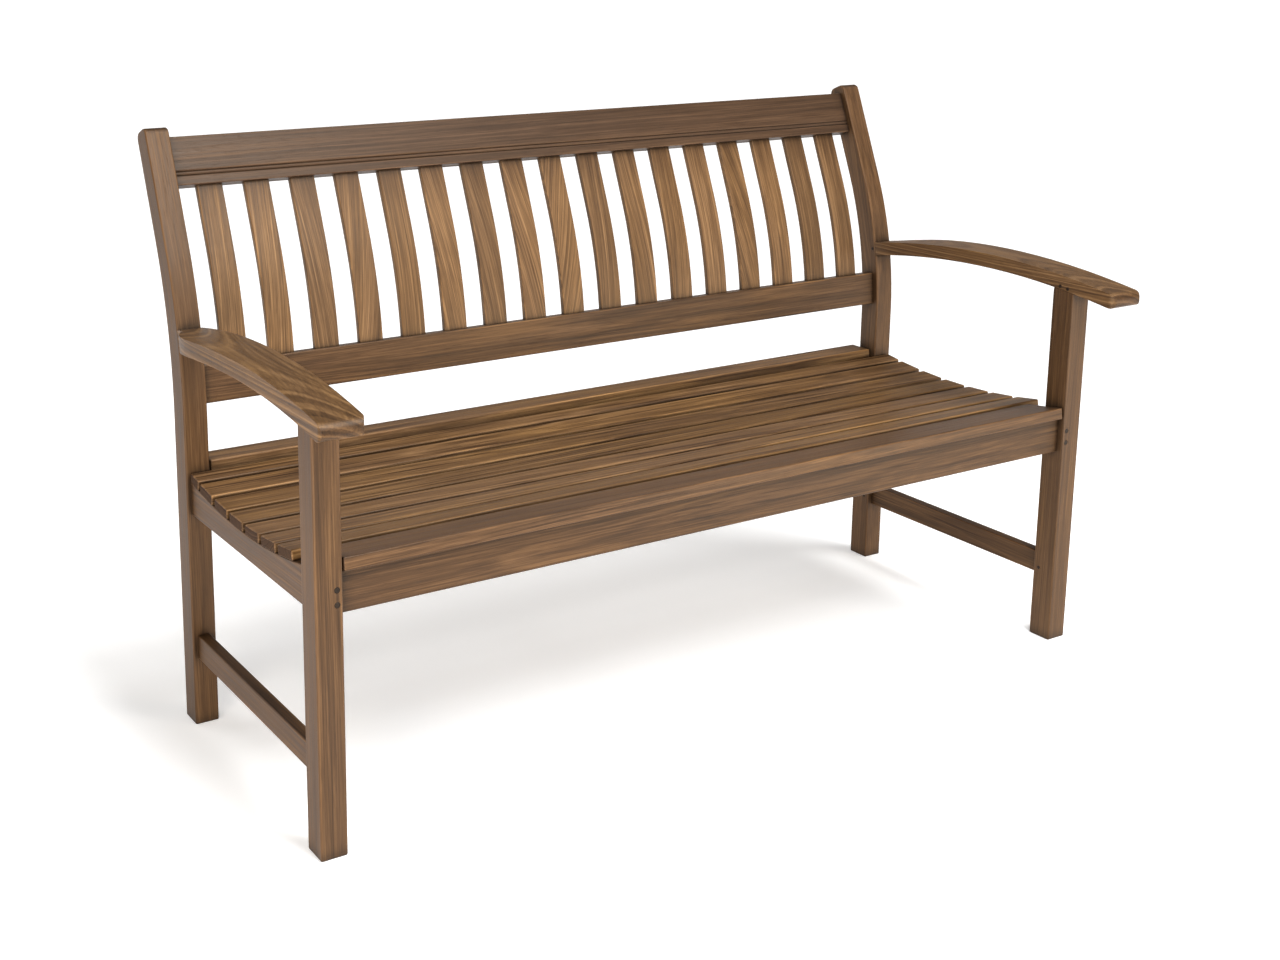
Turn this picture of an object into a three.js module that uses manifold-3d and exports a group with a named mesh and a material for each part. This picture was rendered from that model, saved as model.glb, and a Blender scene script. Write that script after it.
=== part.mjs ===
// Three-seat garden bench in hardwood: a mortise-and-tenon frame with pegged joints, a dished
// seat of nine slats, a raked back of seventeen curved slats, and two arched armrests.
//
// Units are millimetres and +Z is up. X runs along the bench, and left and right are as seen from
// the front. Inside this file Y = 0 is the front of the front legs and Y grows towards the back;
// the last lines move the bench so that its origin is the centre of its footprint.
import * as THREE from "three";
import { mergeVertices } from "three/addons/utils/BufferGeometryUtils.js";
import Module from "manifold-3d";

const wasm = await Module();
wasm.setup();

// ---------------------------------------------------------------- driving dimensions
const LEG_SPAN = 1500; // over the outsides of the legs
const FRAME_DEPTH = 528; // front of the front legs to the back of the rear legs, at the floor
const CLEARANCE = 0.3; // left between pieces that touch

const FRONT_LEG = { width: 42, depth: 45 };
const REAR_LEG = { width: 40, depth: 45 };

// The rear legs stand straight up to the bend, follow an arc, and then lean back in a straight line.
// Places on the back are given as a distance along the leg's front face from the bend.
const BEND = { height: 520, radius: 700, lean: THREE.MathUtils.degToRad(22.6) };
const REAR_LEG_LENGTH = 470; // from the bend to the top, along the front face
const REAR_LEG_CORNER = 12;

const SEAT_RAIL = { bottom: 358, thickness: 24, setback: 12 };
const SIDE_RAIL = { bottom: 360, outside: 742, thickness: 24 };
const REAR_RAIL_FRONT = 495;
const REAR_RAIL_TOP = 422.7;
const BEARER = { width: 24, bottom: 365 };
const STRETCHER = { outside: 741, thickness: 20, bottom: 114, height: 41 };

// The seat slats lie on an arc whose lowest point is at dish.y.
const DISH = { y: 285, z: 415.5, radius: 1190 };
const SEAT_SLAT = { width: 50, thickness: 16, pitch: 60, halfLength: 744 };
const FIRST_DISHED_SLAT_Y = 115;
const DISHED_SLATS = 6;
const NARROW_SLAT = { y: 463.8, width: 32 };
const EDGE_SLAT_HALF_LENGTH = 705;
const FRONT_SLAT = { width: 79, thickness: 20, frontBottom: 422, tilt: Math.atan(0.15) };
const REAR_SLAT = { front: 492, width: 50, thickness: 20, bottom: 423 };

const BACK_RAIL = { setback: 12, thickness: 24 };
const LOWER_BACK_RAIL = { from: 16.5, to: 80.5 }; // along the back
const TOP_RAIL = { from: 373.7, to: 454.5 };
const BEAD = { above: [16, 22.5], width: 3, depth: 2.2 }; // two grooves in the top rail's face
const BACK_SLAT = { count: 17, width: 44, thickness: 11, setback: 21, housed: 12 };

const ARM = { inside: 709, outside: 777, rearOutside: 750, thickness: 25.5, nose: -89 };
const ARM_ARCH = { y: 205, z: 687, radius: 1650 };
// The outer edge bows out behind the front leg and sweeps back in to the rear leg: [x, y] points.
const ARM_SWEEP = [
  [777, -30],
  [780, 130],
  [786, 290],
  [785, 380],
  [768, 437],
  [750, 474],
];
const ARM_NOSE = { topRadius: 15, bottomRadius: 10, insideCorner: 17, outsideCorner: 10 };

const RAIL_PEG = { radius: 4.3, x: 717, heights: [376.5, 398] };
const STRETCHER_PEG = { radius: 3, z: 131, behindLegFace: 12, end: 744 };
const ARM_PIN = { radius: 3, end: 744 };
const ARM_FRONT_PINS = [
  { name: "front", y: 14, z: 655.2 },
  { name: "rear", y: 30.4, z: 657.4 },
];
const ARM_REAR_PIN = { y: 503.5, z: 647.5 };

// ---------------------------------------------------------------- derived places
const HALF_SPAN = LEG_SPAN / 2;
const FRONT_LEG_INSIDE = HALF_SPAN - FRONT_LEG.width;
const REAR_LEG_INSIDE = HALF_SPAN - REAR_LEG.width;
const REAR_LEG_FRONT = FRAME_DEPTH - REAR_LEG.depth;
const FRONT_RAIL_BACK = SEAT_RAIL.setback + SEAT_RAIL.thickness;
const DISH_CENTRE_Z = DISH.z + DISH.radius;
const ARCH_CENTRE_Z = ARM_ARCH.z - ARM_ARCH.radius;

// ---------------------------------------------------------------- materials
const timber = (color, roughness) =>
  new THREE.MeshStandardMaterial({ color, roughness, metalness: 0 });
const FRAME_WOOD = timber(0x7c614a, 0.5);
const SLAT_WOOD = timber(0x82674e, 0.5);
const PEG_WOOD = timber(0x5d4634, 0.6);

// ---------------------------------------------------------------- solids
const X_AXIS = new THREE.Vector3(1, 0, 0);
const Y_AXIS = new THREE.Vector3(0, 1, 0);
const Z_AXIS = new THREE.Vector3(0, 0, 1);
const OUTLINE_TO_YZ = new THREE.Matrix4().makeBasis(Y_AXIS, Z_AXIS, X_AXIS);

function toSolid(geometry) {
  geometry.deleteAttribute("normal");
  geometry.deleteAttribute("uv");
  const merged = mergeVertices(geometry, 1e-4);
  return new wasm.Manifold(
    new wasm.Mesh({
      numProp: 3,
      vertProperties: merged.attributes.position.array,
      triVerts: new Uint32Array(merged.index.array),
    }),
  );
}

function toGeometry(solid) {
  const mesh = solid.getMesh();
  const geometry = new THREE.BufferGeometry();
  geometry.setAttribute("position", new THREE.BufferAttribute(mesh.vertProperties, 3));
  geometry.setIndex(new THREE.BufferAttribute(mesh.triVerts, 1));
  geometry.computeVertexNormals();
  return geometry;
}

function extrude(outline, depth) {
  const shape = new THREE.Shape(outline.map(([u, v]) => new THREE.Vector2(u, v)));
  return new THREE.ExtrudeGeometry(shape, { depth, bevelEnabled: false });
}

// A prism that runs along X; its outline is a list of [y, z] points.
function prismAlongX(outline, [x0, x1]) {
  const geometry = extrude(outline, x1 - x0).applyMatrix4(OUTLINE_TO_YZ);
  return toSolid(geometry.translate(x0, 0, 0));
}

// An upright prism; its outline is a list of [x, y] points.
function prismAlongZ(outline, [z0, z1]) {
  return toSolid(extrude(outline, z1 - z0).translate(0, 0, z0));
}

function block([x0, x1], [y0, y1], [z0, z1]) {
  const geometry = new THREE.BoxGeometry(x1 - x0, y1 - y0, z1 - z0);
  return toSolid(geometry.translate((x0 + x1) / 2, (y0 + y1) / 2, (z0 + z1) / 2));
}

const PEG_SIDES = 12;

function rodAlongX(radius, [x0, x1], y, z) {
  const geometry = new THREE.CylinderGeometry(radius, radius, x1 - x0, PEG_SIDES);
  return toSolid(geometry.rotateZ(Math.PI / 2).translate((x0 + x1) / 2, y, z));
}

function rodAlongY(radius, x, [y0, y1], z) {
  const geometry = new THREE.CylinderGeometry(radius, radius, y1 - y0, PEG_SIDES);
  return toSolid(geometry.translate(x, (y0 + y1) / 2, z));
}

const cut = (solid, ...tools) => tools.reduce((rest, tool) => rest.subtract(tool), solid);
const join = (solid, ...others) => others.reduce((whole, other) => whole.add(other), solid);

// The same X range on the left (side -1) or on the right (side 1) of the bench.
const onSide = (side, [x0, x1]) => (side > 0 ? [x0, x1] : [-x1, -x0]);
const grow = ([low, high], by) => [low - by, high + by];
const range = (count) => Array.from({ length: count }, (_, i) => i);

// The points of a right-angled corner rounded off. The outline comes in along -a and leaves
// along b, and both are unit vectors that point away from the corner.
function roundCorner([u, v], a, b, radius, steps = 4) {
  return range(steps + 1).map((i) => {
    const angle = (i / steps) * (Math.PI / 2);
    const alongA = radius * (1 - Math.sin(angle));
    const alongB = radius * (1 - Math.cos(angle));
    return [u + a[0] * alongA + b[0] * alongB, v + a[1] * alongA + b[1] * alongB];
  });
}

// ---------------------------------------------------------------- the curve of the back
const ARC_LENGTH = BEND.radius * BEND.lean;
const LEAN_DIRECTION = [Math.sin(BEND.lean), Math.cos(BEND.lean)];
const LEAN_NORMAL = [Math.cos(BEND.lean), -Math.sin(BEND.lean)];

// The [y, z] point at a distance along the rear leg's front face, set back behind that face.
function onBack(distance, setback) {
  const angle = Math.min(distance, ARC_LENGTH) / BEND.radius;
  const straight = Math.max(distance - ARC_LENGTH, 0);
  const reach = BEND.radius - setback;
  return [
    REAR_LEG_FRONT + BEND.radius - reach * Math.cos(angle) + straight * LEAN_DIRECTION[0],
    BEND.height + reach * Math.sin(angle) + straight * LEAN_DIRECTION[1],
  ];
}

// Distances that follow the arc in even steps and then jump along the straight stretch.
function backSteps(from, to, step = 23) {
  const arcEnd = Math.min(to, ARC_LENGTH);
  const count = Math.max(1, Math.round((arcEnd - from) / step));
  const steps = range(count + 1).map((i) => from + ((arcEnd - from) * i) / count);
  return to > arcEnd ? [...steps, to] : steps;
}

// A flat board across the back: its section runs from one distance to another along the back.
function backSection(from, to, setback, thickness) {
  return [
    onBack(from, setback),
    onBack(to, setback),
    onBack(to, setback + thickness),
    onBack(from, setback + thickness),
  ];
}

// ---------------------------------------------------------------- the curves of seat and arms
const dishZ = (y, below) => DISH_CENTRE_Z - Math.sqrt((DISH.radius + below) ** 2 - (y - DISH.y) ** 2);
const RAIL_BELOW_DISH = SEAT_SLAT.thickness + 2 * CLEARANCE; // the slats are flat underneath

function dishedEdge(from, to, steps) {
  return range(steps + 1).map((i) => {
    const y = from + ((to - from) * i) / steps;
    return [y, dishZ(y, RAIL_BELOW_DISH)];
  });
}

function onArch(angle, radius) {
  return [ARM_ARCH.y + radius * Math.sin(angle), ARCH_CENTRE_Z + radius * Math.cos(angle)];
}

const ARM_BOTTOM_RADIUS = ARM_ARCH.radius - ARM.thickness;
const armUndersideZ = (y) => ARCH_CENTRE_Z + Math.sqrt(ARM_BOTTOM_RADIUS ** 2 - (y - ARM_ARCH.y) ** 2);

// ---------------------------------------------------------------- joints
// A tenon is a box that leaves its rail, and its mortise is the same box grown by the clearance.
const RAIL_TENON = { y: [19, 29], z: [366, 410], end: 731 };
const REAR_RAIL_TENON = { y: [502, 512], z: [366, 410], end: 731 };
const SIDE_RAIL_TENON = { x: [725, 735], z: [368, 396], length: 14 };
const STRETCHER_TENON = { x: [726, 736], z: [120, 149], length: 20 };
const BEARER_TENON = { x: [-5, 5], z: [372, 395], length: 10 };
const LEG_TOP_TENON = { x: [718, 740], y: [8, 37], top: 666 };
const ARM_TENON = { x: [718, 742], z: [641.5, 655.5], end: 517 };
const BACK_RAIL_TENON = { setback: 18, thickness: 10, shoulder: 10, end: 731 };
const OVERRUN = 5; // how far a cutting tool passes a face that it opens

const mortise = (x, y, z) => block(grow(x, CLEARANCE), grow(y, CLEARANCE), grow(z, CLEARANCE));

const sideTenon = (side, joint, y) => block(onSide(side, joint.x), y, joint.z);
const sideMortise = (side, joint, y) => mortise(onSide(side, joint.x), y, joint.z);

const backTenonSection = (rail, extra) =>
  backSection(
    rail.from + BACK_RAIL_TENON.shoulder - extra,
    rail.to - BACK_RAIL_TENON.shoulder + extra,
    BACK_RAIL_TENON.setback - extra,
    BACK_RAIL_TENON.thickness + 2 * extra,
  );

// Every peg is listed once, with the hole that it fills.
const pegs = [];

function addPeg(name, makeRod, radius, from, to) {
  pegs.push({
    name,
    rod: makeRod(radius, [from, to]),
    hole: makeRod(radius + CLEARANCE, grow([from, to], CLEARANCE)),
  });
}

const FRONT_PEG_DEPTH = 38;
const REAR_PEG_DEPTH = 32;

for (const side of [-1, 1]) {
  const hand = side < 0 ? "left" : "right";
  for (const [i, z] of RAIL_PEG.heights.entries()) {
    const row = i ? "upper" : "lower";
    const alongY = (radius, span) => rodAlongY(radius, side * RAIL_PEG.x, span, z);
    addPeg(`${hand}_front_rail_${row}_peg`, alongY, RAIL_PEG.radius, 0, FRONT_PEG_DEPTH);
    const back = FRAME_DEPTH;
    addPeg(`${hand}_rear_rail_${row}_peg`, alongY, RAIL_PEG.radius, back - REAR_PEG_DEPTH, back);
  }
  const alongX = (y, z) => (radius, span) => rodAlongX(radius, onSide(side, span), y, z);
  const frontY = FRONT_LEG.depth - STRETCHER_PEG.behindLegFace;
  const rearY = REAR_LEG_FRONT + STRETCHER_PEG.behindLegFace;
  const { radius, z, end } = STRETCHER_PEG;
  addPeg(`${hand}_stretcher_front_peg`, alongX(frontY, z), radius, FRONT_LEG_INSIDE, end);
  addPeg(`${hand}_stretcher_rear_peg`, alongX(rearY, z), radius, REAR_LEG_INSIDE, end);
  for (const pin of ARM_FRONT_PINS) {
    const name = `${hand}_arm_${pin.name}_leg_pin`;
    addPeg(name, alongX(pin.y, pin.z), ARM_PIN.radius, ARM.inside, ARM_PIN.end);
  }
  const rearPin = alongX(ARM_REAR_PIN.y, ARM_REAR_PIN.z);
  addPeg(`${hand}_arm_back_pin`, rearPin, ARM_PIN.radius, REAR_LEG_INSIDE, ARM_PIN.end);
}

const holes = (...words) => pegs.filter((p) => words.some((w) => p.name.includes(w))).map((p) => p.hole);

// ---------------------------------------------------------------- the pieces
function frontLeg(side) {
  const hand = side < 0 ? "left" : "right";
  const x = onSide(side, [FRONT_LEG_INSIDE, HALF_SPAN]);
  const top = (y) => armUndersideZ(y) - CLEARANCE;
  const { depth } = FRONT_LEG;
  const outline = [[0, 0], [depth, 0], [depth, top(depth)], [depth / 2, top(depth / 2)], [0, top(0)]];
  const tenonZ = [top(0) - OVERRUN, LEG_TOP_TENON.top];
  return cut(
    join(prismAlongX(outline, x), block(onSide(side, LEG_TOP_TENON.x), LEG_TOP_TENON.y, tenonZ)),
    mortise(onSide(side, [FRONT_LEG_INSIDE - OVERRUN, RAIL_TENON.end]), RAIL_TENON.y, RAIL_TENON.z),
    sideMortise(side, SIDE_RAIL_TENON, [depth - SIDE_RAIL_TENON.length, depth + OVERRUN]),
    sideMortise(side, STRETCHER_TENON, [depth - STRETCHER_TENON.length, depth + OVERRUN]),
    ...holes(`${hand}_front_rail`, `${hand}_stretcher_front`, `${hand}_arm_front`, `${hand}_arm_rear`),
  );
}

function rearLegOutline() {
  const steps = backSteps(0, REAR_LEG_LENGTH, 28);
  const front = steps.map((distance) => onBack(distance, 0));
  const back = front.slice(0, -1).map(([y, z]) => [y + REAR_LEG.depth, z]);
  const tip = front.pop();
  const tipWidth = REAR_LEG.depth * Math.cos(BEND.lean);
  const heel = [tip[0] + tipWidth * LEAN_NORMAL[0], tip[1] + tipWidth * LEAN_NORMAL[1]];
  const down = LEAN_DIRECTION.map((c) => -c);
  const forward = LEAN_NORMAL.map((c) => -c);
  return [
    [REAR_LEG_FRONT, 0],
    ...front,
    ...roundCorner(tip, down, LEAN_NORMAL, REAR_LEG_CORNER),
    ...roundCorner(heel, forward, down, REAR_LEG_CORNER),
    ...back.reverse(),
    [FRAME_DEPTH, 0],
  ];
}

function rearLeg(side) {
  const hand = side < 0 ? "left" : "right";
  const railMortise = onSide(side, [REAR_LEG_INSIDE - OVERRUN, RAIL_TENON.end]);
  const front = REAR_LEG_FRONT;
  const backRailMortise = (rail) =>
    prismAlongX(backTenonSection(rail, CLEARANCE), grow(railMortise, CLEARANCE));
  return cut(
    prismAlongX(rearLegOutline(), onSide(side, [REAR_LEG_INSIDE, HALF_SPAN])),
    mortise(railMortise, REAR_RAIL_TENON.y, REAR_RAIL_TENON.z),
    sideMortise(side, SIDE_RAIL_TENON, [front - OVERRUN, front + SIDE_RAIL_TENON.length]),
    sideMortise(side, STRETCHER_TENON, [front - OVERRUN, front + STRETCHER_TENON.length]),
    sideMortise(side, ARM_TENON, [front - OVERRUN, ARM_TENON.end]),
    backRailMortise(LOWER_BACK_RAIL),
    backRailMortise(TOP_RAIL),
    ...holes(`${hand}_rear_rail`, `${hand}_stretcher_rear`, `${hand}_arm_back`),
  );
}

function armSideOutline() {
  const noseAngle = Math.asin((ARM.nose - ARM_ARCH.y) / ARM_ARCH.radius);
  const rearAngle = Math.asin((ARM_TENON.end + OVERRUN - ARM_ARCH.y) / ARM_ARCH.radius);
  const rearward = [Math.cos(noseAngle), -Math.sin(noseAngle)];
  const upward = [Math.sin(noseAngle), Math.cos(noseAngle)];
  const downward = upward.map((c) => -c);
  const noseTop = onArch(noseAngle, ARM_ARCH.radius);
  const noseBottom = onArch(noseAngle, ARM_BOTTOM_RADIUS);
  const steps = 16;
  const inset = ARM_NOSE.topRadius / ARM_ARCH.radius;
  const angles = range(steps).map((i) => rearAngle + ((noseAngle + inset - rearAngle) * i) / steps);
  return [
    ...angles.map((angle) => onArch(angle, ARM_ARCH.radius)),
    ...roundCorner(noseTop, rearward, downward, ARM_NOSE.topRadius, 6),
    ...roundCorner(noseBottom, upward, rearward, ARM_NOSE.bottomRadius, 4),
    ...angles.reverse().map((angle) => onArch(angle, ARM_BOTTOM_RADIUS)),
  ];
}

function armPlanOutline(side) {
  const sweep = new THREE.SplineCurve(ARM_SWEEP.map(([x, y]) => new THREE.Vector2(x, y)));
  const rear = ARM_TENON.end + 2 * OVERRUN;
  const outline = [
    [ARM.inside, rear],
    ...roundCorner([ARM.inside, ARM.nose], [0, 1], [1, 0], ARM_NOSE.insideCorner, 6),
    ...roundCorner([ARM.outside, ARM.nose], [-1, 0], [0, 1], ARM_NOSE.outsideCorner),
    ...sweep.getPoints(16).map(({ x, y }) => [x, y]),
    [ARM.rearOutside, rear],
  ];
  return outline.map(([x, y]) => [side * x, y]);
}

// The space that the rear leg takes up behind its front face, where an armrest meets it.
function behindRearLegFace() {
  const heights = backSteps(60, 200, 20);
  const face = heights.map((distance) => onBack(distance, 0));
  const farBack = FRAME_DEPTH + 100;
  return [
    ...face.map(([y, z]) => [y - CLEARANCE, z]),
    [farBack, face.at(-1)[1]],
    [farBack, face[0][1]],
  ];
}

function armrest(side) {
  const hand = side < 0 ? "left" : "right";
  const widest = Math.max(...ARM_SWEEP.map(([x]) => x));
  const x = onSide(side, [ARM.inside - OVERRUN, widest + OVERRUN]);
  const arched = prismAlongX(armSideOutline(), x);
  const flared = prismAlongZ(armPlanOutline(side), [ARM_ARCH.z - 100, ARM_ARCH.z + OVERRUN]);
  const fitted = cut(arched.intersect(flared), prismAlongX(behindRearLegFace(), x));
  const tenonStart = REAR_LEG_FRONT - OVERRUN;
  const legTenonZ = [armUndersideZ(0) - OVERRUN, LEG_TOP_TENON.top];
  return cut(
    join(fitted, sideTenon(side, ARM_TENON, [tenonStart, ARM_TENON.end])),
    mortise(onSide(side, LEG_TOP_TENON.x), LEG_TOP_TENON.y, legTenonZ),
    ...holes(`${hand}_arm_`),
  );
}

// A long rail of the frame: its section runs between the shoulders, with a tenon at each end.
function tenonedRail(section, shoulder, tenonSection, tenonEnd) {
  return join(
    prismAlongX(section, [-shoulder, shoulder]),
    prismAlongX(tenonSection, [-tenonEnd, tenonEnd]),
  );
}

const rectangle = ([y0, y1], [z0, z1]) => [[y0, z0], [y1, z0], [y1, z1], [y0, z1]];

function frontSeatRail() {
  const slatUnderside = (y) => FRONT_SLAT.frontBottom - y * Math.tan(FRONT_SLAT.tilt) - CLEARANCE;
  const { setback, bottom } = SEAT_RAIL;
  const section = [
    [setback, bottom],
    [FRONT_RAIL_BACK, bottom],
    [FRONT_RAIL_BACK, slatUnderside(FRONT_RAIL_BACK)],
    [setback, slatUnderside(setback)],
  ];
  const tenon = rectangle(RAIL_TENON.y, RAIL_TENON.z);
  return cut(
    tenonedRail(section, FRONT_LEG_INSIDE - CLEARANCE, tenon, RAIL_TENON.end),
    mortise(BEARER_TENON.x, [FRONT_RAIL_BACK - BEARER_TENON.length, FRAME_DEPTH], BEARER_TENON.z),
    ...holes("front_rail"),
  );
}

function rearSeatRail() {
  const y = [REAR_RAIL_FRONT, REAR_RAIL_FRONT + SEAT_RAIL.thickness];
  const section = rectangle(y, [SEAT_RAIL.bottom, REAR_RAIL_TOP]);
  const tenon = rectangle(REAR_RAIL_TENON.y, REAR_RAIL_TENON.z);
  return cut(
    tenonedRail(section, REAR_LEG_INSIDE - CLEARANCE, tenon, REAR_RAIL_TENON.end),
    mortise(BEARER_TENON.x, [0, REAR_RAIL_FRONT + BEARER_TENON.length], BEARER_TENON.z),
    ...holes("rear_rail"),
  );
}

function sideSeatRail(side) {
  const front = FRONT_LEG.depth + CLEARANCE;
  const rear = REAR_LEG_FRONT - CLEARANCE;
  const outline = [[front, SIDE_RAIL.bottom], [rear, SIDE_RAIL.bottom], ...dishedEdge(rear, front, 14)];
  const x = onSide(side, [SIDE_RAIL.outside - SIDE_RAIL.thickness, SIDE_RAIL.outside]);
  const { length } = SIDE_RAIL_TENON;
  const tenon = sideTenon(side, SIDE_RAIL_TENON, [
    FRONT_LEG.depth - length + CLEARANCE,
    REAR_LEG_FRONT + length - CLEARANCE,
  ]);
  return join(prismAlongX(outline, x), tenon);
}

function seatBearer() {
  const front = FRONT_RAIL_BACK + CLEARANCE;
  const rear = REAR_RAIL_FRONT - CLEARANCE;
  const step = FRONT_SLAT.width + OVERRUN; // the bearer stays below the front slat
  const underFrontSlat = 405;
  const outline = [
    [front, BEARER.bottom],
    [rear, BEARER.bottom],
    ...dishedEdge(rear, step, 13),
    [step, underFrontSlat],
    [front, underFrontSlat],
  ];
  const { length } = BEARER_TENON;
  const tenon = block(
    BEARER_TENON.x,
    [FRONT_RAIL_BACK - length + CLEARANCE, REAR_RAIL_FRONT + length - CLEARANCE],
    BEARER_TENON.z,
  );
  return join(prismAlongX(outline, [-BEARER.width / 2, BEARER.width / 2]), tenon);
}

function sideStretcher(side) {
  const hand = side < 0 ? "left" : "right";
  const { outside, thickness, bottom, height } = STRETCHER;
  const { length } = STRETCHER_TENON;
  const body = block(
    onSide(side, [outside - thickness, outside]),
    [FRONT_LEG.depth + CLEARANCE, REAR_LEG_FRONT - CLEARANCE],
    [bottom, bottom + height],
  );
  const tenon = sideTenon(side, STRETCHER_TENON, [
    FRONT_LEG.depth - length + CLEARANCE,
    REAR_LEG_FRONT + length - CLEARANCE,
  ]);
  return cut(join(body, tenon), ...holes(`${hand}_stretcher`));
}

// The middles of the back slats: every gap is the same, the two beside the legs included.
const BACK_OPENING = 2 * REAR_LEG_INSIDE;
const BACK_GAP = (BACK_OPENING - BACK_SLAT.count * BACK_SLAT.width) / (BACK_SLAT.count + 1);
const backSlatX = (i) => -REAR_LEG_INSIDE + BACK_GAP + BACK_SLAT.width / 2 + i * (BACK_GAP + BACK_SLAT.width);

// The seventeen housings for the slats, as one tool for each: from is deep in the rail.
function slatHousings(from, to) {
  const section = backSection(
    from,
    to,
    BACK_SLAT.setback - CLEARANCE,
    BACK_SLAT.thickness + 2 * CLEARANCE,
  );
  const half = BACK_SLAT.width / 2 + CLEARANCE;
  return range(BACK_SLAT.count).map((i) => {
    const x = backSlatX(i);
    return prismAlongX(section, [x - half, x + half]);
  });
}

function backRail(rail) {
  const section = backSection(rail.from, rail.to, BACK_RAIL.setback, BACK_RAIL.thickness);
  const tenon = backTenonSection(rail, 0);
  return tenonedRail(section, REAR_LEG_INSIDE - CLEARANCE, tenon, BACK_RAIL_TENON.end);
}

function lowerBackRail() {
  const top = LOWER_BACK_RAIL.to;
  const deep = top - BACK_SLAT.housed - CLEARANCE;
  return cut(backRail(LOWER_BACK_RAIL), ...slatHousings(deep, top + OVERRUN));
}

// A V-groove along the top rail's front face, at a distance above its lower edge.
function beadGroove(above) {
  const middle = TOP_RAIL.from + above;
  const section = [
    onBack(middle - BEAD.width / 2, BACK_RAIL.setback),
    onBack(middle, BACK_RAIL.setback + BEAD.depth),
    onBack(middle + BEAD.width / 2, BACK_RAIL.setback),
    onBack(middle, BACK_RAIL.setback - BEAD.depth),
  ];
  return prismAlongX(section, [-REAR_LEG_INSIDE, REAR_LEG_INSIDE]);
}

function topRail() {
  const bottom = TOP_RAIL.from;
  const deep = bottom + BACK_SLAT.housed + CLEARANCE;
  return cut(backRail(TOP_RAIL), ...slatHousings(bottom - OVERRUN, deep), ...BEAD.above.map(beadGroove));
}

function backSlat() {
  const from = LOWER_BACK_RAIL.to - BACK_SLAT.housed;
  const to = TOP_RAIL.from + BACK_SLAT.housed;
  const steps = backSteps(from, to, 21);
  const front = steps.map((distance) => onBack(distance, BACK_SLAT.setback));
  const back = steps.map((distance) => onBack(distance, BACK_SLAT.setback + BACK_SLAT.thickness));
  const half = BACK_SLAT.width / 2;
  return prismAlongX([...front, ...back.reverse()], [-half, half]);
}

// ---------------------------------------------------------------- the assembly
const bench = new THREE.Group();
const frame = new THREE.Group();
const seat = new THREE.Group();
const back = new THREE.Group();
const fixings = new THREE.Group();
const atLegFront = new THREE.Group();
atLegFront.add(frame, seat, back, fixings);
bench.add(atLegFront);

function add(group, name, geometry, material) {
  const mesh = new THREE.Mesh(geometry, material);
  mesh.name = name;
  group.add(mesh);
  return mesh;
}

for (const side of [-1, 1]) {
  const hand = side < 0 ? "left" : "right";
  add(frame, `${hand}_front_leg`, toGeometry(frontLeg(side)), FRAME_WOOD);
  add(frame, `${hand}_rear_leg`, toGeometry(rearLeg(side)), FRAME_WOOD);
  add(frame, `${hand}_armrest`, toGeometry(armrest(side)), FRAME_WOOD);
  add(frame, `${hand}_side_seat_rail`, toGeometry(sideSeatRail(side)), FRAME_WOOD);
  add(frame, `${hand}_side_stretcher`, toGeometry(sideStretcher(side)), FRAME_WOOD);
}
add(frame, "front_seat_rail", toGeometry(frontSeatRail()), FRAME_WOOD);
add(frame, "rear_seat_rail", toGeometry(rearSeatRail()), FRAME_WOOD);
add(frame, "centre_seat_bearer", toGeometry(seatBearer()), FRAME_WOOD);
add(back, "back_top_rail", toGeometry(topRail()), FRAME_WOOD);
add(back, "back_lower_rail", toGeometry(lowerBackRail()), FRAME_WOOD);

const slatGeometry = toGeometry(backSlat());
for (const i of range(BACK_SLAT.count)) {
  const number = String(i + 1).padStart(2, "0");
  const slat = add(back, `back_slat_${number}`, slatGeometry, SLAT_WOOD);
  slat.position.x = backSlatX(i);
}

// The front and rear slats lie on their rails, between the legs.
const frontSlatGeometry = new THREE.BoxGeometry(
  2 * EDGE_SLAT_HALF_LENGTH,
  FRONT_SLAT.width,
  FRONT_SLAT.thickness,
).translate(0, FRONT_SLAT.width / 2, FRONT_SLAT.thickness / 2);
const frontSlat = add(seat, "seat_slat_1", frontSlatGeometry, SLAT_WOOD);
frontSlat.position.z = FRONT_SLAT.frontBottom;
frontSlat.rotation.x = -FRONT_SLAT.tilt;

const rearSlatGeometry = new THREE.BoxGeometry(
  2 * EDGE_SLAT_HALF_LENGTH,
  REAR_SLAT.width,
  REAR_SLAT.thickness,
).translate(0, REAR_SLAT.width / 2, REAR_SLAT.thickness / 2);
const rearSlat = add(seat, "seat_slat_9", rearSlatGeometry, SLAT_WOOD);
rearSlat.position.set(0, REAR_SLAT.front, REAR_SLAT.bottom);

// The other slats lie on the dished rails, each turned to face the middle of the dish's arc.
function addDishedSlat(name, y, width) {
  const geometry = new THREE.BoxGeometry(2 * SEAT_SLAT.halfLength, width, SEAT_SLAT.thickness);
  const slat = add(seat, name, geometry, SLAT_WOOD);
  const tilt = Math.asin((y - DISH.y) / DISH.radius);
  const reach = DISH.radius + SEAT_SLAT.thickness / 2;
  slat.position.set(0, DISH.y + reach * Math.sin(tilt), DISH_CENTRE_Z - reach * Math.cos(tilt));
  slat.rotation.x = tilt;
}

for (const i of range(DISHED_SLATS)) {
  addDishedSlat(`seat_slat_${i + 2}`, FIRST_DISHED_SLAT_Y + i * SEAT_SLAT.pitch, SEAT_SLAT.width);
}
addDishedSlat("seat_slat_8", NARROW_SLAT.y, NARROW_SLAT.width);

for (const peg of pegs) add(fixings, peg.name, toGeometry(peg.rod), PEG_WOOD);

// The origin is under the middle of the whole bench, on the floor.
const bounds = new THREE.Box3().setFromObject(bench);
atLegFront.position.y = -(bounds.min.y + bounds.max.y) / 2;

export default bench;
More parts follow.
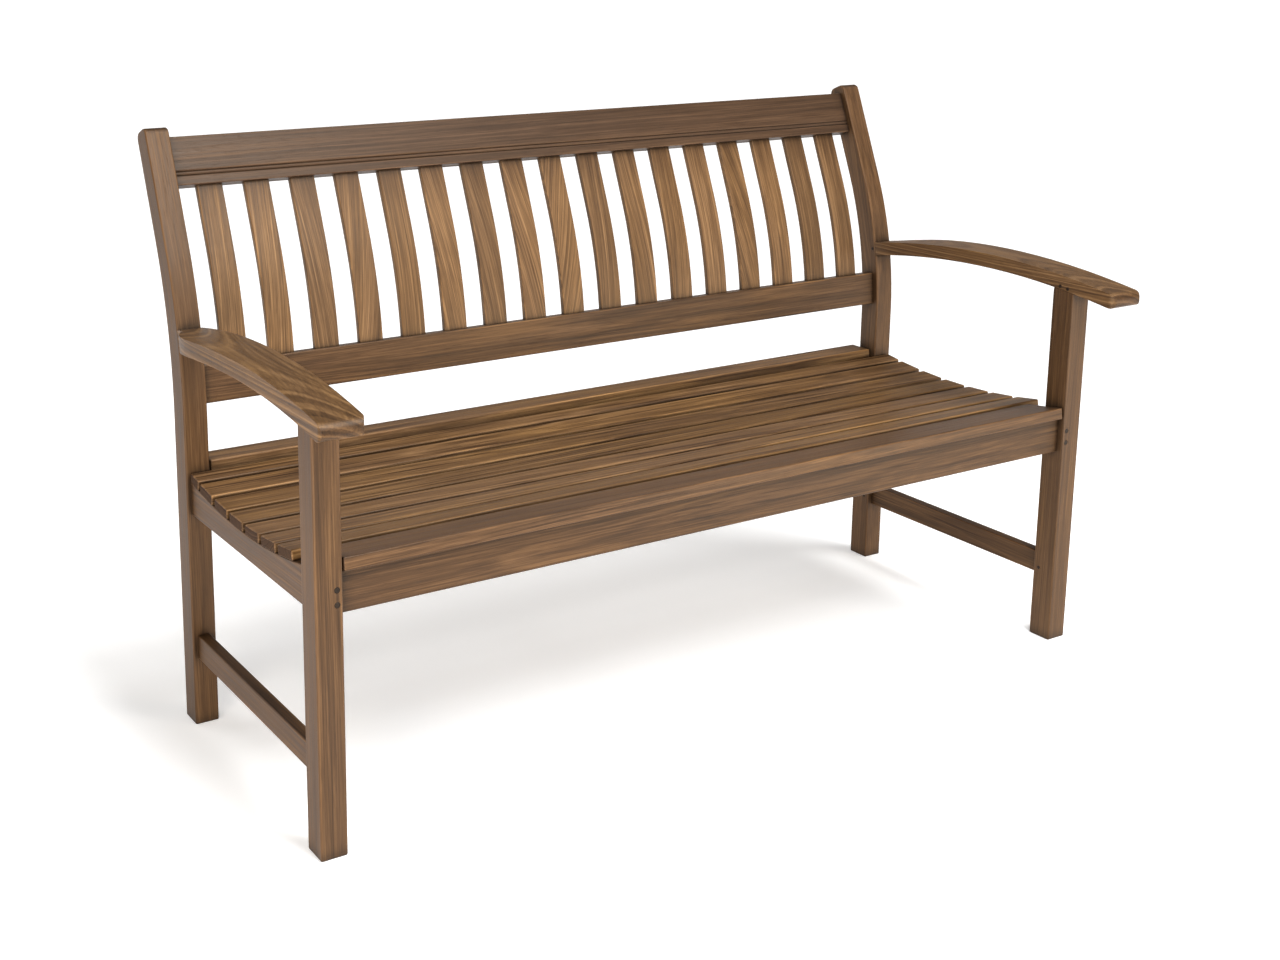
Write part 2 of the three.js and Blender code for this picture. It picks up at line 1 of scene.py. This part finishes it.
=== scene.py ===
"""Looks for the garden bench: every CAD solid gets a wooden twin with eased edges and its own grain.

Each twin is a copy of its CAD solid whose outer edges are rounded. It carries what the materials
need: where each point lies in the log that the plank was sawn from and how far it looks along the
grain, how dark and warm the plank is, which of its faces are rounded edges that get wear and a
painted highlight, and which are recesses that get painted shade. Units are
metres, +X runs along the bench, the front faces -Y and +Z is up.
"""

import math
import random

import bmesh
import bpy
from mathutils import Matrix, Vector
from mathutils.bvhtree import BVHTree


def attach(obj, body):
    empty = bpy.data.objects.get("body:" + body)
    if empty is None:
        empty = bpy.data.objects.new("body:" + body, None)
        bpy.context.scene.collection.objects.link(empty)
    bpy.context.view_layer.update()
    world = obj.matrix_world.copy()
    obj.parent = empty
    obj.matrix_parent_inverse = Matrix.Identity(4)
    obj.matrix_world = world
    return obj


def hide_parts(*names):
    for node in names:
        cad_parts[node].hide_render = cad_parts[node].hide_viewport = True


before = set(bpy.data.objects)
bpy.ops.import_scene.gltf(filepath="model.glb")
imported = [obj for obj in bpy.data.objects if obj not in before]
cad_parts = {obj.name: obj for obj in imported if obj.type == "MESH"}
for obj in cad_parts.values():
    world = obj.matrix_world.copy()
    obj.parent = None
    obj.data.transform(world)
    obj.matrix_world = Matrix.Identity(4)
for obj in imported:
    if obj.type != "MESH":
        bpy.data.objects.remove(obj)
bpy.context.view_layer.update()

AXES = {"X": Vector((1, 0, 0)), "Y": Vector((0, 1, 0)), "Z": Vector((0, 0, 1))}
SEED = "bench"


# ---------------------------------------------------------------- what each piece is made like
class Kind:
    """How one kind of piece is sawn and finished.

    grain      axis that the grain follows
    face       axis that the widest face looks along
    finish     name of the material for the long faces
    easing     radius of the rounded edges, in metres
    slope      most degrees that the grain leans from its axis, across the face
    bent       whether the grain follows the curve of the back
    flat_sawn  whether the heart of the log lies straight below the widest face
    ends       whether the edges across the grain are rounded too
    sawn_ends  whether the ends show end grain
    """

    slope = 2
    bent = False
    flat_sawn = False
    ends = False
    sawn_ends = True

    def __init__(self, grain, face, finish, easing, **choices):
        self.grain = grain
        self.face = face
        self.finish = finish
        self.easing = easing
        for name, choice in choices.items():
            setattr(self, name, choice)


PIN = Kind("X", "Z", "peg_wood", 0.0004, ends=True, sawn_ends=False)
RAIL_PEG = Kind("Y", "Z", "peg_wood", 0.0006, ends=True, sawn_ends=False)

# Each piece is of the first kind whose word is in its name.
KINDS = [
    ("pin", PIN),
    ("front_leg", Kind("Z", "X", "leg_wood", 0.0030, ends=True)),
    ("rear_leg", Kind("Z", "X", "leg_wood", 0.0030, bent=True, ends=True)),
    ("armrest", Kind("Y", "Z", "arm_wood", 0.0035, flat_sawn=True, ends=True, sawn_ends=False)),
    ("side_seat_rail", Kind("Y", "X", "rail_wood", 0.0020)),
    ("stretcher_front_peg", PIN),
    ("stretcher_rear_peg", PIN),
    ("rail_lower_peg", RAIL_PEG),
    ("rail_upper_peg", RAIL_PEG),
    ("side_stretcher", Kind("Y", "X", "rail_wood", 0.0025)),
    ("seat_bearer", Kind("Y", "X", "rail_wood", 0.0020)),
    ("seat_rail", Kind("X", "Y", "rail_wood", 0.0020)),
    ("back_top_rail", Kind("X", "Y", "top_rail_wood", 0.0030)),
    ("back_lower_rail", Kind("X", "Y", "rail_wood", 0.0025)),
    ("back_slat", Kind("Z", "Y", "back_slat_wood", 0.0020, slope=16, bent=True)),
    ("seat_slat_1", Kind("X", "Z", "rail_wood", 0.0022, ends=True)),
    ("seat_slat", Kind("X", "Z", "seat_slat_wood", 0.0028, ends=True)),
]


def kind_of(node):
    return next(kind for word, kind in KINDS if word in node)


def turned(axis, degrees):
    return Matrix.Rotation(math.radians(degrees), 3, axis)


# ---------------------------------------------------------------- the twins of the CAD solids
WELD = 1e-5  # metres
FLAT = math.radians(0.3)  # faces that turn less than this are one face
ROUND_STEPS = 3
SQUARE_CORNER = math.radians(55)  # edges that turn less than this are part of a curve
SMOOTH_BELOW = math.radians(38)
RAY_START = 0.0002  # metres above the face that a ray leaves from
RAY_LENGTH = 0.2

# How much of a face's normal has to lie along the grain, from 0 to 1.
END_FACE = 0.9
SAWN_FACE = 0.85

# Where a plank lay in its log.
HEART_DEPTH = (0.05, 0.13)  # metres from the plank's middle to the heart of the log
FLAT_SAWN_HEART = (75, 105)  # degrees round the grain
ANY_HEART = (0, 360)
PLACE_IN_LOG = (2, 40)  # metres along the log, so that no two planks show the same figure

# The curve of the back: upright, then an arc, then a straight line.
BEND_HEIGHT = 0.520
BEND_RADIUS = 0.700
BACK_LEAN = math.radians(22.6)


def clean_copy(node):
    """The CAD solid as a mesh of large flat faces."""
    mesh = bmesh.new()
    mesh.from_mesh(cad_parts[node].data)
    bmesh.ops.remove_doubles(mesh, verts=mesh.verts, dist=WELD)
    bmesh.ops.dissolve_limit(mesh, angle_limit=FLAT, verts=mesh.verts, edges=mesh.edges)
    return mesh


def inner_faces(mesh):
    """The walls of mortises, grooves and peg holes: faces that look at another face of the piece."""
    tree = BVHTree.FromBMesh(mesh)
    inner = set()
    for face in mesh.faces:
        start = face.calc_center_median_weighted() + face.normal * RAY_START
        if tree.ray_cast(start, face.normal, RAY_LENGTH)[0] is not None:
            inner.add(face)
    return inner


def outer_edges(mesh, kind):
    """The edges to round: square corners of the outside, and across the grain only if kind.ends."""
    inner = inner_faces(mesh)
    along = AXES[kind.grain]
    chosen = []
    for edge in mesh.edges:
        if len(edge.link_faces) != 2 or not edge.is_convex:
            continue
        if edge.calc_face_angle() < SQUARE_CORNER or inner.intersection(edge.link_faces):
            continue
        ends = [abs(face.normal.dot(along)) > END_FACE for face in edge.link_faces]
        if any(ends) and not kind.ends:
            continue
        chosen.append(edge)
    return chosen


def round_edges(mesh, kind):
    """Rounds the outer edges, and marks the new faces for wear and a painted highlight and the inner ones
    for painted shade.
    """
    wear_and_highlight = mesh.faces.layers.float.new("wear_and_highlight")
    recess_shade = mesh.faces.layers.float.new("recess_shade")
    for face in inner_faces(mesh):
        face[recess_shade] = 1.0
    result = bmesh.ops.bevel(
        mesh,
        geom=outer_edges(mesh, kind),
        offset=kind.easing,
        segments=ROUND_STEPS,
        profile=0.5,
        affect="EDGES",
        clamp_overlap=True,
        loop_slide=False,
    )
    for face in result["faces"]:
        face[wear_and_highlight] = 1.0


def log_frame(kind, chance):
    """Turns a place in the bench into a place in the log: along the grain, and across it twice."""
    along, out = AXES[kind.grain], AXES[kind.face]
    across = along.cross(out)
    to_plank = Matrix((along, across, out))
    slope = kind.slope * chance.uniform(-1, 1) ** 3  # few planks are sawn far off the grain
    dive = chance.uniform(-1, 1)  # degrees that the grain dips into the widest face
    return turned("Z", slope) @ turned("Y", dive) @ to_plank


def straightened(place):
    """A place on the back if its curve was bent straight: its depth is counted from the curve."""
    rise = place.z - BEND_HEIGHT
    arc_rise = BEND_RADIUS * math.sin(BACK_LEAN)
    back = 0.0
    if rise > 0:
        on_arc = min(rise, arc_rise)
        back = BEND_RADIUS - math.sqrt(BEND_RADIUS**2 - on_arc**2) + (rise - on_arc) * math.tan(BACK_LEAN)
    return Vector((place.x, place.y - back, place.z))


def mark_grain(mesh, kind, chance):
    """Gives each point its place in the log, and how far it looks along the grain.

    The heart of the log lies somewhere beside or behind the plank.
    """
    grain = mesh.verts.layers.float_vector.new("grain")
    places = [straightened(vert.co) if kind.bent else vert.co.copy() for vert in mesh.verts]
    centre = sum(places, Vector()) / len(places)
    turn = log_frame(kind, chance)
    side = math.radians(chance.uniform(*(FLAT_SAWN_HEART if kind.flat_sawn else ANY_HEART)))
    depth = chance.uniform(*HEART_DEPTH)
    along_log = chance.uniform(*PLACE_IN_LOG)
    heart = Vector((along_log, depth * math.cos(side), depth * math.sin(side)))
    across_grain = mesh.verts.layers.float.new("across_grain")
    mesh.normal_update()
    for vert, place in zip(mesh.verts, places):
        vert[grain] = turn @ (place - centre) + heart
        vert[across_grain] = abs(vert.normal.dot(AXES[kind.grain]))


def mark_finish(mesh, kind, chance):
    """Gives the plank its own tone, and its sawn ends the end-grain material."""
    shade = mesh.faces.layers.float.new("shade")
    warmth = mesh.faces.layers.float.new("warmth")
    tones = chance.uniform(-1, 1), chance.uniform(-1, 1)
    along = AXES[kind.grain]
    for face in mesh.faces:
        face[shade], face[warmth] = tones
        face.smooth = True
        sawn = kind.sawn_ends and abs(face.normal.dot(along)) > SAWN_FACE
        face.material_index = 1 if sawn else 0


def twin(node):
    """A wooden piece that is shown in place of a CAD solid."""
    kind = kind_of(node)
    chance = random.Random(SEED + node)  # a piece's draws don't depend on the other pieces
    mesh = clean_copy(node)
    round_edges(mesh, kind)
    mark_grain(mesh, kind, chance)
    mark_finish(mesh, kind, chance)
    data = bpy.data.meshes.new(node + "_wood")
    mesh.to_mesh(data)
    mesh.free()
    data.set_sharp_from_angle(angle=SMOOTH_BELOW)
    data.materials.append(WOODS[kind.finish])
    data.materials.append(WOODS["end_grain"])
    piece = bpy.data.objects.new(node + "_wood", data)
    bpy.context.collection.objects.link(piece)
    normals = piece.modifiers.new("flat faces stay flat", "WEIGHTED_NORMAL")
    normals.keep_sharp = True
    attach(piece, "root")
    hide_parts(node)
    return piece


# ---------------------------------------------------------------- materials
class Graph:
    """A material's node tree, filled one node at a time."""

    def __init__(self, name):
        self.material = bpy.data.materials.new(name)
        self.material.use_nodes = True
        self.tree = self.material.node_tree
        self.tree.nodes.clear()

    def add(self, kind, sockets, **settings):
        node = self.tree.nodes.new("ShaderNode" + kind)
        for key, value in settings.items():
            setattr(node, key, value)
        for key, value in sockets.items():
            if isinstance(value, bpy.types.NodeSocket):
                self.tree.links.new(value, node.inputs[key])
            else:
                node.inputs[key].default_value = value
        return node

    def attribute(self, name, output):
        return self.add("Attribute", {}, attribute_name=name).outputs[output]

    def math(self, operation, a, b=0.0):
        return self.add("Math", {0: a, 1: b}, operation=operation).outputs[0]

    def vector(self, operation, a, b):
        return self.add("VectorMath", {0: a, 1: b}, operation=operation).outputs[0]

    def noise(self, place, stretch, detail=3.0, rough=0.55, output="Fac"):
        """Noise whose cells are 1 / stretch metres long in each direction of the log."""
        scaled = self.vector("MULTIPLY", place, stretch)
        sockets = {"Vector": scaled, "Scale": 1.0, "Detail": detail, "Roughness": rough}
        return self.add("TexNoise", sockets).outputs[output]

    def step(self, value, low, high, to_low=0.0, to_high=1.0):
        """value mapped from low..high to to_low..to_high, and held at both ends."""
        sockets = {0: value, 1: low, 2: high, 3: to_low, 4: to_high}
        return self.add("MapRange", sockets).outputs[0]

    def mix(self, part, a, b, blend="MIX"):
        node = self.add("Mix", {0: part, 6: a, 7: b}, data_type="RGBA", blend_type=blend)
        return node.outputs[2]

    def ramp(self, value, stops):
        node = self.add("ValToRGB", {0: value})
        ramp = node.color_ramp
        while len(ramp.elements) < len(stops):
            ramp.elements.new(1.0)
        for element, (position, color) in zip(ramp.elements, stops):
            element.position = position
            element.color = (*color, 1)
        return node.outputs[0]

    def scaled(self, color, by):
        return self.add("VectorMath", {0: color, "Scale": by}, operation="SCALE").outputs[0]

    def surface(self, sockets):
        shader = self.add("BsdfPrincipled", sockets)
        self.add("OutputMaterial", {"Surface": shader.outputs[0]})


def srgb(red, green, blue):
    """A colour given as 0 to 255 screen values, as the linear values that shaders use."""

    def linear(value):
        part = value / 255
        return part / 12.92 if part <= 0.04045 else ((part + 0.055) / 1.055) ** 2.4

    return tuple(linear(value) for value in (red, green, blue))


# The figure of the wood: how many cells of noise fit in a metre along the grain and twice across it.
DRIFT = (1.3, 8, 8)
CLOUDS = (2.6, 16, 16)
STREAKS = (1.2, 75, 75)
LINES = (6, 400, 400)
FIBRES = (22, 900, 900)
DARK_VEINS = (3.2, 170, 170)
PORES = (34, 1100, 1100)
DRIFT_BY = (0, 0.014, 0.014)  # metres

# What each thing does to the colour of the wood: a factor for red, green and blue.
GOLDEN_TINT = (1.09, 1.04, 0.78)
VEIN_TINT = (0.42, 0.37, 0.34)
PORE_TINT = (0.40, 0.34, 0.30)
# Rounded edges: lighter from wear and from a painted highlight.
WEAR_AND_HIGHLIGHT_TINT = (1.24, 1.22, 1.18)
# Mortises, grooves and peg holes: painted shade.
RECESS_SHADE_TINT = (0.30, 0.26, 0.23)
ACROSS_TINT = (0.52, 0.48, 0.45)

PORES_SHOW = 0.45
WARMTH_BY = 0.12  # how far a plank's own warmth shifts the share of golden wood
CORNER_SHADE_DISTANCE = 0.025  # metres: painted shade darkens the colour within this distance of another face


def growth_rings(graph, place, per_metre, **choices):
    """The rings round the heart of the log, wide and narrow as the years were."""
    flat = graph.vector("MULTIPLY", place, (0, 1, 1))
    radius = graph.add("VectorMath", {0: flat}, operation="LENGTH").outputs["Value"]
    sockets = {"W": graph.math("MULTIPLY", radius, per_metre), "Scale": 1.0, **choices}
    return graph.add("TexNoise", sockets, noise_dimensions="1D").outputs["Fac"]


def tinted(graph, color, part, tint):
    """The colour with its part, from 0 to 1, multiplied by a tint."""
    return graph.mix(part, color, graph.vector("MULTIPLY", color, tint))


def fresh_color(graph, place, waved, figure, tones, golden, veins):
    """The colour of clean oiled wood, from its figure, golden parts, veins and pores."""
    color = graph.ramp(figure, tones)
    own_warmth = graph.math("MULTIPLY", graph.attribute("warmth", "Fac"), WARMTH_BY)
    warmth = graph.math("ADD", graph.noise(waved, CLOUDS, 2.0, 0.5), own_warmth)
    golden_part = graph.math("MULTIPLY", graph.step(warmth, 0.38, 0.62), golden)
    color = tinted(graph, color, golden_part, GOLDEN_TINT)
    dark_veins = graph.step(graph.noise(waved, DARK_VEINS, 2.0, 0.5), 0.58, 0.66)
    color = tinted(graph, color, graph.math("MULTIPLY", dark_veins, veins), VEIN_TINT)
    pores = graph.step(graph.noise(place, PORES, 2.0, 0.5), 0.60, 0.70)
    color = tinted(graph, color, graph.math("MULTIPLY", pores, PORES_SHOW), PORE_TINT)
    return color, pores


def worn_color_with_painted_light(graph, color, streaks):
    """The colour with the plank's tone, wear and a painted highlight on rounded edges, painted shade in
    recesses and corners, and darker ends.
    """
    color = graph.scaled(color, graph.step(graph.attribute("shade", "Fac"), -1, 1, 0.86, 1.14))
    # Painted highlight and wear: the rounded edges are lightened in patches.
    patchy = graph.step(streaks, 0.3, 0.6, 0.5, 1)
    wear_and_highlight = graph.math("MULTIPLY", graph.attribute("wear_and_highlight", "Fac"), patchy)
    color = tinted(graph, color, wear_and_highlight, WEAR_AND_HIGHLIGHT_TINT)
    # Painted shade: mortises, grooves and peg holes are darkened.
    color = tinted(graph, color, graph.attribute("recess_shade", "Fac"), RECESS_SHADE_TINT)
    across = graph.step(graph.attribute("across_grain", "Fac"), 0.5, 0.95)
    color = tinted(graph, color, across, ACROSS_TINT)
    # Painted shade: the colour darkens near other faces of the bench, in corners and under overhangs.
    corner_shade = graph.add("AmbientOcclusion", {"Distance": CORNER_SHADE_DISTANCE}, samples=8).outputs["AO"]
    return graph.scaled(color, graph.step(corner_shade, 0.45, 0.95, 0.35, 1.04))


def wood(name, colors, ring=230, figure=0.25, streak=0.35, golden=0.4, veins=0.3, calm=0.2):
    """Oiled hardwood, whose figure comes from growth rings, streaks of colour, fibres and pores.

    colors   the dark, middle and light tone
    ring     growth rings per metre
    figure   how strongly the rings show
    streak   how strongly the long streaks of colour show
    golden   how much of the wood is golden
    veins    how strongly the sparse dark veins show
    calm     how far apart the dark and light tones lie on the scale of the figure
    """
    graph = Graph(name)
    place = graph.attribute("grain", "Vector")

    # The log grew a little crooked, so its rings and streaks wander along the plank.
    drift = graph.noise(place, DRIFT, 2.0, 0.5, "Color")
    centred = graph.vector("SUBTRACT", drift, (0.5, 0.5, 0.5))
    waved = graph.vector("ADD", place, graph.vector("MULTIPLY", centred, DRIFT_BY))

    rings = growth_rings(graph, waved, ring, Detail=3.0, Roughness=0.65)
    streaks = graph.noise(waved, STREAKS, 3.0, 0.65)
    lines = graph.noise(waved, LINES, 3.0, 0.72)
    mixed = graph.math("MULTIPLY", rings, figure)
    mixed = graph.math("ADD", mixed, graph.math("MULTIPLY", streaks, streak))
    mixed = graph.math("ADD", mixed, graph.math("MULTIPLY", lines, 1 - figure - streak))

    tones = list(zip((0.5 - calm, 0.5, 0.5 + calm), colors))
    color, pores = fresh_color(graph, place, waved, mixed, tones, golden, veins)
    fibres = graph.noise(place, FIBRES, 3.0, 0.6)
    height = graph.math("SUBTRACT", graph.math("MULTIPLY", fibres, 0.5), pores)
    bump = graph.add("Bump", {"Height": height, "Strength": 0.3, "Distance": 0.0003})
    graph.surface(
        {
            "Base Color": worn_color_with_painted_light(graph, color, streaks),
            "Roughness": graph.step(lines, 0.3, 0.7, 0.40, 0.56),
            "Normal": bump.outputs[0],
            "Specular IOR Level": 0.24,
            "Specular Tint": (1.0, 0.90, 0.78, 1),
        }
    )
    return graph.material


def end_grain():
    """Sawn across: darker and duller, with the rings as arcs and the pores as dots."""
    graph = Graph("end_grain")
    place = graph.attribute("grain", "Vector")
    rings = growth_rings(graph, place, 420.0, Detail=2.0)
    dots = graph.noise(place, (500, 1400, 1400), 2.0, 0.6)
    spots = graph.math("ADD", graph.math("MULTIPLY", rings, 0.6), graph.math("MULTIPLY", dots, 0.4))
    color = graph.ramp(spots, [(0.35, srgb(36, 24, 16)), (0.65, srgb(72, 51, 35))])
    bump = graph.add("Bump", {"Height": dots, "Strength": 0.4, "Distance": 0.0004})
    graph.surface(
        {
            "Base Color": color,
            "Roughness": 0.8,
            "Normal": bump.outputs[0],
            "Specular IOR Level": 0.1,
        }
    )
    return graph.material


# Dark, middle and light tones.
BROWN = (srgb(36, 23, 13), srgb(72, 50, 31), srgb(106, 78, 52))
DARK_BROWN = (srgb(34, 22, 13), srgb(62, 44, 30), srgb(89, 66, 47))
PALE_BROWN = (srgb(46, 30, 17), srgb(88, 63, 39), srgb(130, 99, 67))
PEG_BROWN = (srgb(20, 13, 8), srgb(34, 23, 15), srgb(50, 36, 25))
LOOKS = {
    "leg_wood": dict(colors=BROWN, figure=0.16, streak=0.26, veins=0.15, calm=0.22),
    "arm_wood": dict(colors=PALE_BROWN, ring=150, figure=0.50, streak=0.15, calm=0.17),
    "rail_wood": dict(colors=BROWN, streak=0.28, veins=0.7, calm=0.17),
    "top_rail_wood": dict(colors=DARK_BROWN, golden=0.15, veins=0.2, calm=0.20),
    "back_slat_wood": dict(colors=PALE_BROWN, streak=0.24, golden=0.3, calm=0.18),
    "seat_slat_wood": dict(colors=PALE_BROWN, streak=0.32, golden=0.8, veins=1.0, calm=0.15),
    "peg_wood": dict(colors=PEG_BROWN),
}
WOODS = {name: wood(name, **look) for name, look in LOOKS.items()}
WOODS["end_grain"] = end_grain()

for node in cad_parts:
    twin(node)


# ---------------------------------------------------------------- floor, light and camera
FLOOR_SIZE = 120  # metres, so that its far edge is lost in the white of the sky
HORIZON_BAND = (0.06, 0.28)  # heights, as a part of the dome's radius, between which it dims


def add_floor():
    """A pale floor that glows a little, so that it is as white as the sky."""
    bpy.ops.mesh.primitive_plane_add(size=FLOOR_SIZE)
    floor = bpy.context.object
    floor.name = "floor"
    graph = Graph("floor")
    graph.surface(
        {
            "Base Color": (0.88, 0.88, 0.88, 1),
            "Roughness": 0.9,
            "Specular IOR Level": 0.1,
            "Emission Color": (1, 1, 1, 1),
            "Emission Strength": 0.36,
        }
    )
    floor.data.materials.append(graph.material)


def add_sky(zenith, horizon):
    """A studio dome: white along the horizon, and dim overhead."""
    world = bpy.data.worlds.new("studio")
    world.use_nodes = True
    tree = world.node_tree
    direction = tree.nodes.new("ShaderNodeTexCoord").outputs["Generated"]
    height = tree.nodes.new("ShaderNodeSeparateXYZ")
    tree.links.new(direction, height.inputs[0])
    strength = tree.nodes.new("ShaderNodeMapRange")
    for socket, value in enumerate((*HORIZON_BAND, horizon, zenith), start=1):
        strength.inputs[socket].default_value = value
    tree.links.new(height.outputs["Z"], strength.inputs[0])
    background = tree.nodes["Background"]
    background.inputs["Color"].default_value = (1, 1, 1, 1)
    tree.links.new(strength.outputs[0], background.inputs["Strength"])
    bpy.context.scene.world = world


def add_lamp(name, kind, place, target, power, color):
    data = bpy.data.lights.new(name, kind)
    data.energy = power
    data.color = color
    lamp = bpy.data.objects.new(name, data)
    lamp.location = place
    lamp.rotation_euler = (Vector(target) - Vector(place)).to_track_quat("-Z", "Y").to_euler()
    bpy.context.collection.objects.link(lamp)
    return data


def add_softbox(name, place, target, size, power, color):
    """A square lamp. Its size is in metres and its power in watts."""
    data = add_lamp(name, "AREA", place, target, power, color)
    data.shape = "SQUARE"
    data.size = size


def add_distant_light(name, towards, angle, strength):
    """Light from far off, which lights the floor evenly. It is angle degrees wide."""
    data = add_lamp(name, "SUN", towards, (0, 0, 0), strength, (1, 1, 1))
    data.angle = math.radians(angle)


def add_camera():
    data = bpy.data.cameras.new("camera")
    data.lens = 47.11
    data.shift_x, data.shift_y = 0.11, -0.15
    camera = bpy.data.objects.new("camera", data)
    camera.location = (-1.6215, -2.2218, 1.2744)
    turn, tilt = -30.851, 12.119  # degrees to the right of straight on, and down
    camera.rotation_euler = (math.radians(90 - tilt), 0, math.radians(turn))
    bpy.context.collection.objects.link(camera)
    bpy.context.scene.camera = camera


add_floor()
add_sky(zenith=0.16, horizon=1.0)
add_distant_light("front", (0.25, -0.34, 1.00), 20, 2.0)
add_distant_light("behind", (-0.45, 0.75, 0.55), 40, 0.75)
add_softbox("overhead", (-0.1, -1.6, 2.4), (-0.6, 0.2, 0.9), 1.2, 84, (0.94, 0.97, 1.0))
add_softbox("left", (-2.1, -1.3, 0.5), (-0.7, -0.2, 0.3), 0.9, 38, (1.0, 0.93, 0.84))
add_softbox("right", (1.5, -2.1, 0.5), (0.8, -0.2, 0.3), 0.9, 30, (1.0, 0.90, 0.76))
add_camera()
bpy.context.scene.view_settings.view_transform = "Standard"
